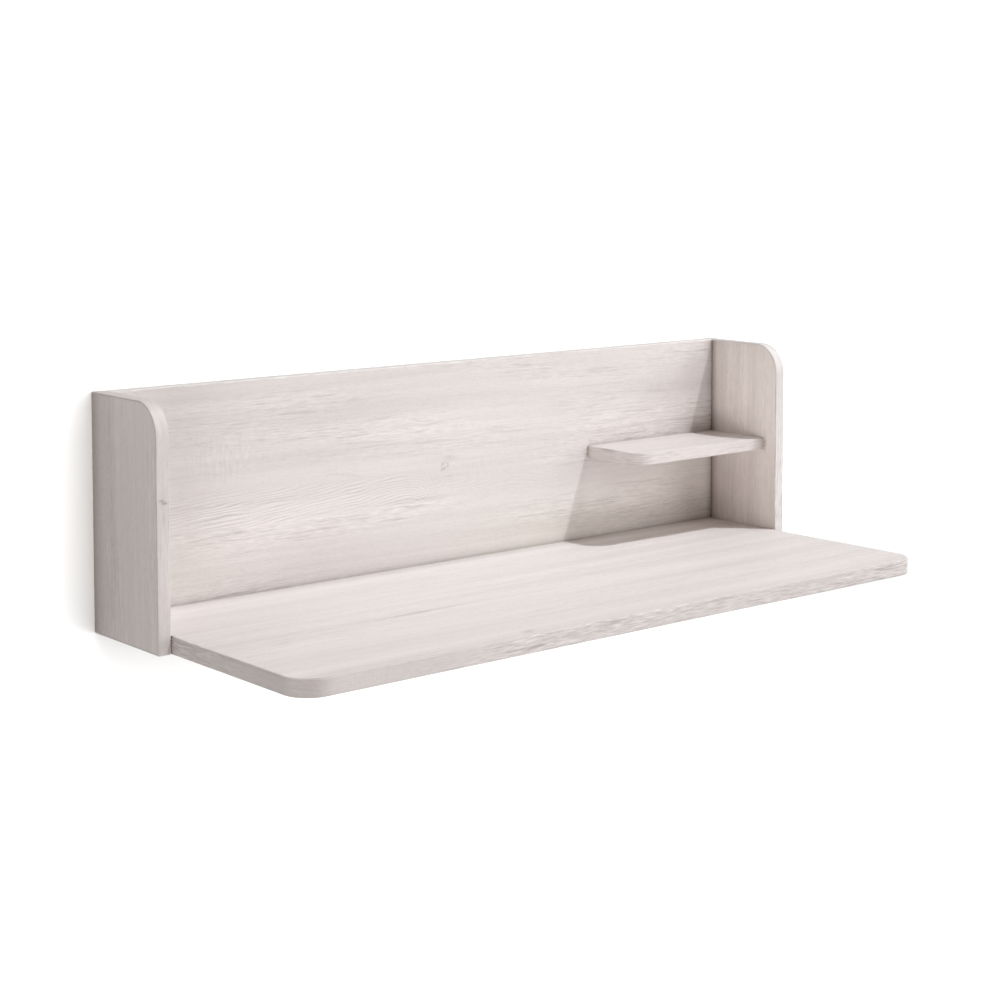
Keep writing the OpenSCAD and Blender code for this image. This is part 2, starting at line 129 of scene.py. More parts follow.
# how the light and dark parts of the print, and the painted light and shade, lean in colour
TONE_TINT = (0.94, 1.01, 1.04)
CHIP = (0.56, 0.43, 0.29)
GLUE = (0.34, 0.23, 0.13)
BEECH = (0.60, 0.41, 0.25)
BEECH_LIGHT = (0.66, 0.47, 0.30)
STEEL = (0.66, 0.67, 0.69)
ZINC = (0.52, 0.52, 0.53)

# the melamine face is this thick on its chipboard
FACE_SKIN = 0.0003
# the two faces of a board take parts of the print this many board thicknesses apart
FACES_APART = 40.0
# how strongly each finish mirrors plain light
LAMINATE_GLOSS = 0.3
METAL_GLOSS = 0.5
# how deep the relief of each finish is, and how strongly it shows
PRINT_RELIEF = (0.0004, 0.35)
BAND_RELIEF = (0.0004, 0.3)
METAL_RELIEF = (0.00005, 0.4)
BEECH_RELIEF = (0.0002, 0.5)

# cells of each drawing's noise to the metre: along the grain, across it, and through it
DRIFT_CELLS = (0.9, 3, 0.9)
WANDER_CELLS = (4, 14, 4)
RIPPLE_CELLS = (22, 60, 22)
FIBRE_CELLS = (55, 640, 55)
LINE_CELLS = (15, 390, 15)
STREAK_CELLS = (2.6, 110, 2.6)
BAND_CELLS = (1.1, 30, 1.1)
OPEN_GRAIN_CELLS = (2.4, 17, 2.4)
PORE_CELLS = (160, 2400, 160)
RAY_CELLS = (330, 60, 330)
RAY_PATCH_CELLS = (5, 10, 5)
CREAM_CELLS = (1.2, 7, 1.2)
FLAME_DRIFT_CELLS = (8, 55, 8)
FLAME_PATCH_CELLS = (7, 90, 0)
KNOT_EDGE_CELLS = (170, 240, 0)
SQUIGGLE_CELLS = (230, 330, 0)
RAGGED_CELLS = (30, 320, 0)
CHIP_CELLS = (420, 420, 420)
GRIT_CELLS = (2600, 2600, 2600)
CLOUD_CELLS = (260, 260, 260)
SCRATCH_CELLS = (3200, 240, 900)
CROSS_SCRATCH_CELLS = (300, 2600, 1400)
# how far the grain strays sideways in long, short and fine waves, in metres
DRIFT, WANDER, RIPPLE = 0.030, 0.005, 0.0010

# the noise levels at which each drawing starts and is full
DASHES = (0.5, 0.74)
OPEN_GRAIN = (0.36, 0.66)
PORES = (0.6, 0.72)
RAY_PATCHES = (0.56, 0.7)
CREAM_PATCHES = (0.5, 0.72)
FLAME_PATCHES = (0.3, 0.7)
SQUIGGLES = (0.42, 0.58)
SCRATCHES = (0.6, 0.7)
# grain is this crisp where it is close, and gains this much where it is open
CLOSE_CRISP, OPEN_GAIN = 0.25, 1.4
# dashes and flame lines are lifted by this much, so that the mean tone stays about the same
DASH_LIFT, FLAME_LIFT = 0.2, 0.35
# how much of the plain print a flame hides
FLAME_COVER = 0.68

FLOAT = "NodeSocketFloat"
COLOUR = "NodeSocketColor"
VECTOR = "NodeSocketVector"
MIX_NUMBERS = (2, 3)
MIX_COLOURS = (6, 7)
MIXED_COLOUR = 2


class Wiring:
    """Adds the nodes of one tree and joins them."""

    def __init__(self, tree):
        self.tree = tree

    def add(self, kind, **settings):
        """Adds a node with its settings."""
        node = self.tree.nodes.new(kind)
        for name, value in settings.items():
            setattr(node, name, value)
        return node

    def feed(self, socket, value):
        """Joins a socket to another, or gives it a value."""
        if isinstance(value, bpy.types.NodeSocket):
            self.tree.links.new(value, socket)
        else:
            socket.default_value = value

    def fill(self, node, values):
        """Feeds a node's inputs in their order."""
        for socket, value in zip(node.inputs, values):
            self.feed(socket, value)

    def math(self, operation, *values):
        """One operation on numbers."""
        node = self.add("ShaderNodeMath", operation=operation)
        self.fill(node, values)
        return node.outputs[0]

    def vector(self, operation, *values):
        """One operation on vectors."""
        node = self.add("ShaderNodeVectorMath", operation=operation)
        self.fill(node, values)
        return node.outputs[0]

    def parts(self, vector):
        """The x, y and z of a vector."""
        node = self.add("ShaderNodeSeparateXYZ")
        self.feed(node.inputs[0], vector)
        return node.outputs[0], node.outputs[1], node.outputs[2]

    def joined(self, *values):
        """A vector from its x, y and z."""
        node = self.add("ShaderNodeCombineXYZ")
        self.fill(node, values)
        return node.outputs[0]

    def noise(self, point, per_metre, detail=0.0):
        """Soft noise around one half, with so many cells to the metre on each axis."""
        node = self.add("ShaderNodeTexNoise")
        self.feed(node.inputs["Vector"], self.vector("MULTIPLY", point, per_metre))
        node.inputs["Scale"].default_value = 1.0
        node.inputs["Detail"].default_value = detail
        return node.outputs[0]

    def swing(self, noise, amount):
        """The same noise around zero, times an amount."""
        centred = self.math("SUBTRACT", noise, 0.5)
        return self.math("MULTIPLY", centred, amount)

    def total(self, *values):
        """The sum of the values."""
        result = values[0]
        for value in values[1:]:
            result = self.math("ADD", result, value)
        return result

    def product(self, *values):
        """The product of the values."""
        result = values[0]
        for value in values[1:]:
            result = self.math("MULTIPLY", result, value)
        return result

    def fade(self, value, start, end):
        """A smooth step from 0 at start to 1 at end."""
        node = self.add("ShaderNodeMapRange", interpolation_type="SMOOTHSTEP")
        self.feed(node.inputs["Value"], value)
        self.feed(node.inputs["From Min"], start)
        self.feed(node.inputs["From Max"], end)
        return node.outputs[0]

    def mixed(self, share, first, second):
        """A colour between two."""
        node = self.add("ShaderNodeMix", data_type="RGBA")
        self.feed(node.inputs[0], share)
        for index, colour in zip(MIX_COLOURS, (first, second)):
            self.feed(node.inputs[index], colour)
        return node.outputs[MIXED_COLOUR]

    def between(self, share, first, second):
        """A number between two."""
        node = self.add("ShaderNodeMix", data_type="FLOAT")
        self.feed(node.inputs[0], share)
        for index, number in zip(MIX_NUMBERS, (first, second)):
            self.feed(node.inputs[index], number)
        return node.outputs[0]

    def grey(self, kind, brightness, strength=None):
        """A grey shader of one kind."""
        node = self.add(kind)
        node.inputs["Color"].default_value = (brightness, brightness, brightness, 1)
        if strength is not None:
            node.inputs["Strength"].default_value = strength
        return node.outputs[0]

    def shaded(self, share, first, second):
        """A shader between two."""
        node = self.add("ShaderNodeMixShader")
        self.fill(node, (share, first, second))
        return node.outputs[0]

    def placed(self, tree, **values):
        """Places a node group; an underscore in a keyword stands for a space."""
        node = self.add("ShaderNodeGroup", node_tree=tree)
        for name, value in values.items():
            self.feed(node.inputs[name.replace("_", " ")], value)
        return node.outputs


def link(thing):
    """Puts a new object in the scene."""
    bpy.context.scene.collection.objects.link(thing)
    return thing


def make_camera():
    """A camera close to the photograph's level one, dipped a little so that its frame is slid less."""
    data = bpy.data.cameras.new("photo_camera")
    data.sensor_width = SENSOR
    data.lens = FOCAL_PX * SENSOR / PHOTO_WIDTH
    data.shift_y = LENS_SHIFT
    data.clip_end = FARTHEST_SEEN
    camera = link(bpy.data.objects.new("photo_camera", data))
    level = math.cos(CAMERA_DIP)
    aim = Vector((math.sin(CAMERA_TURN) * level, math.cos(CAMERA_TURN) * level, -math.sin(CAMERA_DIP)))
    camera.location = CAMERA_AT
    camera.rotation_mode = "QUATERNION"
    camera.rotation_quaternion = aim.to_track_quat("-Z", "Y")
    bpy.context.scene.camera = camera


def backdrop_white(name, bounce):
    """White that is open from behind, and open to the light that the desk's wall side needs.

    Away from the desk it glows, so it stays white far off.
    """
    mat = bpy.data.materials.new(name)
    mat.use_nodes = True
    mat.node_tree.nodes.clear()
    wires = Wiring(mat.node_tree)
    path = wires.add("ShaderNodeLightPath").outputs
    geometry = wires.add("ShaderNodeNewGeometry").outputs
    lit = wires.grey("ShaderNodeBsdfDiffuse", BACKDROP_WHITE)
    glow = wires.grey("ShaderNodeEmission", 1.0, GLOW_STRENGTH)
    distance = wires.add("ShaderNodeVectorMath", operation="LENGTH")
    wires.feed(distance.inputs[0], wires.vector("DIVIDE", geometry["Position"], GLOW_SIZE))
    white = wires.shaded(wires.fade(distance.outputs["Value"], GLOW_START, 1.0), lit, glow)
    dim = wires.grey("ShaderNodeBsdfDiffuse", bounce)
    seen = wires.math("MULTIPLY_ADD", path["Is Glossy Ray"], MIRRORED_WHITE, path["Is Camera Ray"])
    wall = wires.shaded(seen, dim, white)
    near = wires.math("LESS_THAN", path["Ray Length"], 2 * WALL_GAP)
    open_side = wires.math("MAXIMUM", near, geometry["Backfacing"])
    clear = wires.add("ShaderNodeBsdfTransparent").outputs[0]
    out = wires.add("ShaderNodeOutputMaterial")
    wires.feed(out.inputs["Surface"], wires.shaded(open_side, wall, clear))
    return mat


def make_backdrop():
    """A wall just behind the desk that sweeps into the floor; its first strip is the wall."""
    floor_z = DESK_TOP - FLOOR_DROP
    profile = [(WALL_GAP, WALL_TOP)]
    for step in range(COVE_STEPS + 1):
        turn = math.pi / 2 * step / COVE_STEPS
        y = WALL_GAP - COVE_RADIUS * (1 - math.cos(turn))
        z = floor_z + COVE_RADIUS * (1 - math.sin(turn))
        profile.append((y, z))
    profile.append((-STAGE_HALF, floor_z))
    points = [(x, y, z) for y, z in profile for x in (-STAGE_HALF, STAGE_HALF)]
    strips = [(2 * k, 2 * k + 2, 2 * k + 3, 2 * k + 1) for k in range(len(profile) - 1)]
    mesh = bpy.data.meshes.new("backdrop")
    mesh.from_pydata(points, [], strips)
    mesh.shade_smooth()
    mesh.materials.append(backdrop_white("backdrop_wall", WALL_BOUNCE))
    mesh.materials.append(backdrop_white("backdrop_floor", FLOOR_BOUNCE))
    for strip in mesh.polygons:
        strip.material_index = 0 if strip.index == 0 else 1
    backdrop = link(bpy.data.objects.new("backdrop", mesh))
    return backdrop


def aimed(name, data, place, travel):
    """A lamp at a place, shining along a direction and unseen by the camera."""
    lamp = link(bpy.data.objects.new(name, data))
    lamp.location = place
    lamp.rotation_mode = "QUATERNION"
    lamp.rotation_quaternion = Vector(travel).to_track_quat("-Z", "Y")
    lamp.visible_camera = False
    return lamp


def make_lights(backdrop):
    """Soft studio lights on the desk and on the wall, and the key lamp that casts the shelf's shadow."""
    receivers = {side: bpy.data.collections.new(f"lit_{side}") for side in ("desk", "wall")}
    for piece in nodes.values():
        receivers["desk"].objects.link(piece)
    receivers["wall"].objects.link(backdrop)
    for name, place, aim, width, watts, receiver in LIGHTS:
        data = bpy.data.lights.new(name, "AREA")
        data.shape = "DISK"
        data.size = width
        data.energy = watts
        lamp = aimed(name, data, place, Vector(aim) - Vector(place))
        lamp.light_linking.receiver_collection = receivers[receiver]
    suns = [
        ("key", KEY_TRAVEL, KEY_STRENGTH, KEY_ANGLE, KEY_COLOUR),
        ("soft_key", SOFT_KEY_TRAVEL, SOFT_KEY_STRENGTH, SOFT_KEY_ANGLE, (1, 1, 1)),
    ]
    for name, travel, strength, angle, colour in suns:
        data = bpy.data.lights.new(name, "SUN")
        data.energy = strength
        data.angle = angle
        data.color = colour
        lamp = aimed(name, data, -Vector(travel), travel)
        lamp.light_linking.receiver_collection = receivers["desk"]


def make_room():
    """Even room light, with a white background behind it."""
    world = bpy.data.worlds.new("studio")
    bpy.context.scene.world = world
    world.use_nodes = True
    world.node_tree.nodes.clear()
    wires = Wiring(world.node_tree)
    room = wires.add("ShaderNodeBackground", name="room_light")
    room.inputs["Color"].default_value = ROOM_COLOUR
    room.inputs["Strength"].default_value = ROOM_LIGHT
    white = wires.grey("ShaderNodeBackground", 1.0)
    path = wires.add("ShaderNodeLightPath").outputs
    out = wires.add("ShaderNodeOutputWorld")
    wires.feed(out.inputs["Surface"], wires.shaded(path["Is Camera Ray"], room.outputs[0], white))


def new_group(name, inputs, outputs):
    """A node group with its inputs and outputs, ready to be filled."""
    tree = bpy.data.node_groups.new(name, "ShaderNodeTree")
    for label, kind, value in inputs:
        socket = tree.interface.new_socket(name=label, in_out="INPUT", socket_type=kind)
        socket.default_value = value
    for label, kind in outputs:
        tree.interface.new_socket(name=label, in_out="OUTPUT", socket_type=kind)
    wires = Wiring(tree)
    given = wires.add("NodeGroupInput").outputs
    gives = wires.add("NodeGroupOutput").inputs
    return tree, wires, given, gives


def make_oak_print():
    """Whitewashed oak print. X runs along the grain, y across it, and z picks another part of the print."""
    tree, wires, given, gives = new_group(
        "oak_print",
        [
            ("Point", VECTOR, (0, 0, 0)),
            ("Wood", COLOUR, (*OAK, 1)),
            ("Cream", COLOUR, (*CREAM, 1)),
            ("Cream Share", FLOAT, 0.5),
            ("Cream Patch", FLOAT, 0.0),
            ("Fibres", FLOAT, 0.2),
            ("Lines", FLOAT, 0.2),
            ("Streaks", FLOAT, 0.2),
            ("Bands", FLOAT, 0.2),
            ("Pores", FLOAT, 0.08),
            ("Rays", FLOAT, 0.06),
            ("Ray Patch", FLOAT, 0.0),
            ("Flame", FLOAT, 0.0),
            ("Flame Share", FLOAT, 0.0),
            ("Marks", FLOAT, 0.0),
        ],
        [("Color", COLOUR), ("Roughness", FLOAT), ("Height", FLOAT)],
    )
    point = given["Point"]
    along, across, other = wires.parts(point)
    drift = wires.swing(wires.noise(point, DRIFT_CELLS), DRIFT)
    wander = wires.swing(wires.noise(point, WANDER_CELLS), WANDER)
    ripple = wires.swing(wires.noise(point, RIPPLE_CELLS), RIPPLE)
    bent = wires.joined(along, wires.total(across, drift, wander, ripple), other)
    fibres = wires.noise(bent, FIBRE_CELLS, 1)
    lines = wires.noise(bent, LINE_CELLS, 1)
    streaks = wires.noise(bent, STREAK_CELLS, 1)
    bands = wires.noise(bent, BAND_CELLS, 1)
    dashes = wires.fade(lines, *DASHES)
    open_grain = wires.fade(wires.noise(point, OPEN_GRAIN_CELLS, 1), *OPEN_GRAIN)
    crisp = wires.math("MULTIPLY_ADD", open_grain, OPEN_GAIN, CLOSE_CRISP)
    line_tone = wires.product(wires.math("SUBTRACT", DASH_LIFT, dashes), given["Lines"])
    fine = wires.total(wires.swing(fibres, given["Fibres"]), line_tone)
    broad = wires.total(wires.swing(streaks, given["Streaks"]), wires.swing(bands, given["Bands"]))
    tone = wires.total(wires.product(fine, crisp), broad)
    pores = wires.fade(wires.noise(bent, PORE_CELLS), *PORES)
    patches = wires.fade(wires.noise(point, RAY_PATCH_CELLS, 1), *RAY_PATCHES)
    patches = wires.math("ADD", patches, given["Ray Patch"])
    rays = wires.product(wires.swing(wires.noise(point, RAY_CELLS), 1.0), patches, given["Rays"])
    plain = wires.math("MULTIPLY_ADD", given["Flame Share"], -FLAME_COVER, 1.0)
    tone = wires.total(wires.product(tone, plain), rays, wires.product(given["Flame"], given["Flame Share"]))
    tone = wires.math("SUBTRACT", tone, wires.product(pores, given["Pores"]))
    # Marks takes the print's drawn marks together with painted light and shade
    tone = wires.math("SUBTRACT", tone, given["Marks"])
    cream = wires.fade(wires.noise(point, CREAM_CELLS, 1), *CREAM_PATCHES)
    cream = wires.math("MAXIMUM", wires.product(cream, given["Cream Share"]), given["Cream Patch"])
    wood = wires.mixed(cream, given["Wood"], given["Cream"])
    shade = wires.vector("MULTIPLY_ADD", wires.joined(tone, tone, tone), TONE_TINT, (1, 1, 1))
    wires.feed(gives["Color"], wires.vector("MULTIPLY", wood, shade))
    even, on_streaks, in_pores = 0.5, 0.18, 0.2
    rough = wires.total(even, wires.swing(streaks, on_streaks), wires.product(pores, in_pores))
    wires.feed(gives["Roughness"], rough)
    raised, sunk = 0.5, -0.6
    grain = wires.total(wires.product(fibres, raised), wires.product(lines, raised))
    wires.feed(gives["Height"], wires.math("ADD", grain, wires.product(pores, sunk)))
    return tree


def make_flame():
    """Arched growth lines over a flat foot line: a slow rise to the peak, then a quick curl down."""
    tree, wires, given, gives = new_group(
        "oak_flame",
        [
            ("Point", VECTOR, (0, 0, 0)),
            ("Peak", VECTOR, (0, 0, 0)),
            ("Rise", FLOAT, 0.16),
            ("Slope Length", FLOAT, 0.28),
            ("Top Rise", FLOAT, -0.02),
            ("Curl", FLOAT, 7.4),
            ("Depth", FLOAT, 0.040),
            ("Reach", FLOAT, 0.52),
            ("Spacing", FLOAT, 0.0043),
        ],
        [("Lines", FLOAT), ("Share", FLOAT)],
    )
    crown = 0.03
    drift = 3.2
    line_edge = (0.1, 1.0)
    faint, clear = 0.3, 1.0
    top_edge = (-0.004, 0.008)
    foot_edge = (-0.001, 0.004)
    tail = (1.0, 0.72)
    away = wires.vector("SUBTRACT", given["Point"], given["Peak"])
    dx, dy, _ = wires.parts(away)
    before = wires.math("MAXIMUM", wires.math("MULTIPLY", dx, -1.0), 0.0)
    after = wires.math("MAXIMUM", dx, 0.0)
    rounded = wires.math("SQRT", wires.math("MULTIPLY_ADD", before, before, crown ** 2))
    rounded = wires.math("SUBTRACT", rounded, crown)
    eased = wires.math("EXPONENT", wires.math("DIVIDE", wires.product(rounded, -1.0), given["Slope Length"]))
    slid = wires.product(wires.math("SUBTRACT", 1.0, eased), given["Slope Length"])
    curl = wires.product(after, after, given["Curl"])
    level = wires.total(dy, wires.product(slid, given["Rise"]), curl)
    phase = wires.swing(wires.noise(given["Point"], FLAME_DRIFT_CELLS, 1), drift)
    turns = wires.math("ADD", wires.math("DIVIDE", level, given["Spacing"]), phase)
    rings = wires.math("SINE", wires.math("MULTIPLY", turns, 2 * math.pi))
    dark = wires.fade(rings, *line_edge)
    patchy = wires.fade(wires.noise(given["Point"], FLAME_PATCH_CELLS, 1), *FLAME_PATCHES)
    strength = wires.math("MULTIPLY_ADD", patchy, clear - faint, faint)
    wires.feed(gives["Lines"], wires.product(wires.math("SUBTRACT", FLAME_LIFT, dark), strength))
    top = wires.total(dy, wires.product(before, given["Top Rise"]), curl)
    under = wires.math("SUBTRACT", 1.0, wires.fade(top, *top_edge))
    over = wires.fade(wires.math("ADD", dy, given["Depth"]), *foot_edge)
    reach = wires.fade(wires.math("DIVIDE", before, given["Reach"]), *tail)
    wires.feed(gives["Share"], wires.product(under, over, reach))
    return tree


def make_knot():
    """A small knot: short dark squiggles, with the lines around it pushed apart."""
    tree, wires, given, gives = new_group(
        "oak_knot",
        [("Point", VECTOR, (0, 0, 0)), ("Middle", VECTOR, (0, 0, 0)), ("Size", VECTOR, (0.006, 0.004, 1))],
        [("Point", VECTOR), ("Dark", FLOAT)],
    )
    unevenness = 1.5
    ring_radius, ring_sharpness = 0.85, 11.0
    spot_darkness, spot_sharpness = 0.7, 9.0
    faint, clear = 0.2, 1.0
    push_across, push_sharpness = 0.7, 0.12
    away = wires.vector("SUBTRACT", given["Point"], given["Middle"])
    apart = wires.vector("DIVIDE", away, given["Size"])
    dx, dy, _ = wires.parts(apart)
    squared = wires.math("MULTIPLY_ADD", dx, dx, wires.product(dy, dy))
    uneven = wires.swing(wires.noise(given["Point"], KNOT_EDGE_CELLS, 1), unevenness)
    off_ring = wires.total(wires.math("SQRT", squared), uneven, -ring_radius)
    ring = wires.math("EXPONENT", wires.product(off_ring, off_ring, -ring_sharpness))
    spot = wires.math("EXPONENT", wires.math("MULTIPLY", squared, -spot_sharpness))
    near = wires.math("MULTIPLY_ADD", spot, spot_darkness, ring)
    round_it = wires.math("EXPONENT", wires.math("MULTIPLY", squared, -push_sharpness))
    squiggle = wires.fade(wires.noise(given["Point"], SQUIGGLE_CELLS, 1), *SQUIGGLES)
    strength = wires.math("MULTIPLY_ADD", squiggle, clear - faint, faint)
    wires.feed(gives["Dark"], wires.product(near, strength))
    push = wires.vector("MULTIPLY", away, (0, push_across, 0))
    push = wires.vector("MULTIPLY", push, wires.joined(round_it, round_it, round_it))
    wires.feed(gives["Point"], wires.vector("SUBTRACT", given["Point"], push))
    return tree


def make_soft_patch():
    """A soft patch drawn out along the grain, for streaks in the print and for patches of painted light and
    shade.
    """
    tree, wires, given, gives = new_group(
        "oak_soft_patch",
        [
            ("Point", VECTOR, (0, 0, 0)),
            ("Middle", VECTOR, (0, 0, 0)),
            ("Size", VECTOR, (0.05, 0.004, 1)),
            ("Tilt", FLOAT, 0.0),
            ("Raggedness", FLOAT, 1.0),
        ],
        [("Mask", FLOAT)],
    )
    unevenness = 1.6
    away = wires.vector("SUBTRACT", given["Point"], given["Middle"])
    dx, dy, _ = wires.parts(away)
    level = wires.math("SUBTRACT", dy, wires.product(dx, given["Tilt"]))
    apart = wires.vector("DIVIDE", wires.joined(dx, level, 0.0), given["Size"])
    along, over, _ = wires.parts(apart)
    squared = wires.math("MULTIPLY_ADD", along, along, wires.product(over, over))
    reach = wires.math("EXPONENT", wires.math("MULTIPLY", squared, -1.0))
    fibres = wires.swing(wires.noise(given["Point"], RAGGED_CELLS, 1), unevenness)
    ragged = wires.math("MULTIPLY_ADD", fibres, given["Raggedness"], 1.0)
    wires.feed(gives["Mask"], wires.product(reach, ragged))
    return tree


def make_joint_shade():
    """Painted shade that gathers in a corner between two boards, and fades away from it; at a short reach it
    is the dark line of the joint.
    """
    tree, wires, given, gives = new_group(
        "joint_shade",
        [
            ("Coordinate", FLOAT, 0.0),
            ("Corner", FLOAT, 0.0),
            ("Way", FLOAT, 1.0),
            ("Reach", FLOAT, 0.005),
        ],
        [("Shade", FLOAT)],
    )
    away = wires.product(wires.math("SUBTRACT", given["Coordinate"], given["Corner"]), given["Way"])
    on_side = wires.math("GREATER_THAN", away, -FACE_SKIN)
    near = wires.math("DIVIDE", wires.math("MAXIMUM", away, 0.0), given["Reach"])
    shade = wires.math("EXPONENT", wires.math("MULTIPLY", near, -1.0))
    wires.feed(gives["Shade"], wires.product(shade, on_side))
    return tree


def make_chipboard():
    """Pressed chips, as bare edges and drilled holes show them."""
    tree, wires, given, gives = new_group(
        "chipboard",
        [("Point", VECTOR, (0, 0, 0)), ("Chip", COLOUR, (*CHIP, 1)), ("Glue", COLOUR, (*GLUE, 1))],
        [("Color", COLOUR), ("Roughness", FLOAT), ("Height", FLOAT)],
    )
    chips = wires.add("ShaderNodeTexVoronoi", feature="F1")
    wires.feed(chips.inputs["Vector"], wires.vector("MULTIPLY", given["Point"], CHIP_CELLS))
    chips.inputs["Scale"].default_value = 1.0
    chip_tone, grit_tone = 0.7, 0.3
    dull, uneven = 0.8, 0.2
    chip_height, grit_height = 0.5, 0.5
    tone, height, _ = wires.parts(chips.outputs["Color"])
    grit = wires.noise(given["Point"], GRIT_CELLS, 2)
    share = wires.math("MULTIPLY_ADD", tone, chip_tone, wires.product(grit, grit_tone))
    wires.feed(gives["Color"], wires.mixed(share, given["Glue"], given["Chip"]))
    wires.feed(gives["Roughness"], wires.total(dull, wires.swing(grit, uneven)))
    relief = wires.total(wires.product(height, chip_height), wires.product(grit, grit_height))
    wires.feed(gives["Height"], relief)
    return tree


def make_plated_metal():
    """Barrel-plated steel or cast zinc: cloudy tone, fine scratches and a soft unevenness."""
    tree, wires, given, gives = new_group(
        "plated_metal",
        [
            ("Point", VECTOR, (0, 0, 0)),
            ("Metal", COLOUR, (0.6, 0.6, 0.6, 1)),
            ("Smoothness", FLOAT, 0.65),
            ("Clouds", FLOAT, 0.3),
            ("Scratches", FLOAT, 0.2),
        ],
        [("Color", COLOUR), ("Roughness", FLOAT), ("Height", FLOAT)],
    )
    point = given["Point"]
    clouds = wires.swing(wires.noise(point, CLOUD_CELLS, 3), given["Clouds"])
    one_way = wires.noise(point, SCRATCH_CELLS, 1)
    other_way = wires.noise(point, CROSS_SCRATCH_CELLS, 1)
    scratched = wires.fade(wires.math("MAXIMUM", one_way, other_way), *SCRATCHES)
    scratches = wires.product(scratched, given["Scratches"])
    scratch_darkness, cloud_dullness, scratch_dullness = 0.5, 0.6, 0.8
    tone = wires.math("SUBTRACT", wires.math("ADD", 1.0, clouds), wires.product(scratches, scratch_darkness))
    wires.feed(gives["Color"], wires.vector("MULTIPLY", given["Metal"], wires.joined(tone, tone, tone)))
    even = wires.math("SUBTRACT", 1.0, given["Smoothness"])
    dull = wires.total(wires.product(clouds, cloud_dullness), wires.product(scratches, scratch_dullness))
    wires.feed(gives["Roughness"], wires.math("ADD", even, dull))
    wires.feed(gives["Height"], wires.math("SUBTRACT", clouds, scratches))
    return tree


oak_print = make_oak_print()
oak_flame = make_flame()
oak_knot = make_knot()
oak_soft_patch = make_soft_patch()
joint_shade = make_joint_shade()
chipboard = make_chipboard()
plated_metal = make_plated_metal()


def new_material(name):
    """A material with its plain shader, and the place on the piece that its print is drawn by."""
    mat = bpy.data.materials.new(name)
    mat.use_nodes = True
    wires = Wiring(mat.node_tree)
    shader = mat.node_tree.nodes["Principled BSDF"]
    shader.inputs["Specular IOR Level"].default_value = LAMINATE_GLOSS
    place = wires.add("ShaderNodeTexCoord").outputs["Object"]
    return mat, wires, shader, place


def finish_shader(wires, shader, colour, roughness, height, relief):
    """Joins colour, roughness and relief to the shader."""
    wires.feed(shader.inputs["Base Color"], colour)
    wires.feed(shader.inputs["Roughness"], roughness)
    depth, strength = relief
    bump = wires.add("ShaderNodeBump")
    bump.inputs["Strength"].default_value = strength
    bump.inputs["Distance"].default_value = depth
    wires.feed(bump.inputs["Height"], height)
    wires.feed(shader.inputs["Normal"], bump.outputs["Normal"])


def draw_marks(wires, parts, across, marks):
    """Draws knots, streaks and soft patches, the tone patches being painted light and shade. Gives what each
    drawing adds, and the way across the grain.
    """
    drawn = {"darkness": [0.0], "cream": [0.0], "rays": [0.0]}
    for kind, axes, middle, size, tilt, amount in marks:
        first, second = (parts[AXES.index(axis)] for axis in axes)
        point = wires.joined(first, second, 0.0)
        values = {"Point": point, "Middle": (*middle, 0), "Size": (*size, 1)}
        if kind == "knot":
            knot = wires.placed(oak_knot, **values)
            drawn["darkness"].append(wires.product(knot["Dark"], amount))
            across = wires.parts(knot["Point"])[1]
            continue
        ragged = 1.0 if kind == "streak" else 0.0
        soft_patch = wires.placed(oak_soft_patch, Tilt=tilt, Raggedness=ragged, **values)
        drawing = kind if kind in drawn else "darkness"
        drawn[drawing].append(wires.product(soft_patch["Mask"], amount))
    return {drawing: wires.total(*masks) for drawing, masks in drawn.items()}, across


def keep_to(wires, parts, amount, bounds):
    """Keeps an amount to the part of a board beyond each bound."""
    for axis, start, way in bounds:
        beyond = wires.product(wires.math("SUBTRACT", parts[axis], start), way)
        amount = wires.product(amount, wires.math("GREATER_THAN", beyond, 0.0))
    return amount


def shade_corners(wires, parts, corners):
    """Sums the painted shade in a board's corners."""
    shades = [0.0]
    for axis, corner, way, reach, amount, bounds in corners:
        shade = wires.placed(joint_shade, Coordinate=parts[axis], Corner=corner, Way=way, Reach=reach)
        shades.append(keep_to(wires, parts, wires.product(shade["Shade"], amount), bounds))
    return wires.total(*shades)


def draw_flames(wires, point, flames):
    """Sums the growth lines of a board's flames, and gives the part of the board that they take."""
    lines = 0.0
    share = 0.0
    for peak, shape, amount in flames:
        flame = wires.placed(oak_flame, Point=point, Peak=(*peak, 0), **shape)
        lines = wires.math("MULTIPLY_ADD", flame["Lines"], amount, lines)
        share = wires.math("MAXIMUM", share, flame["Share"])
    return lines, share


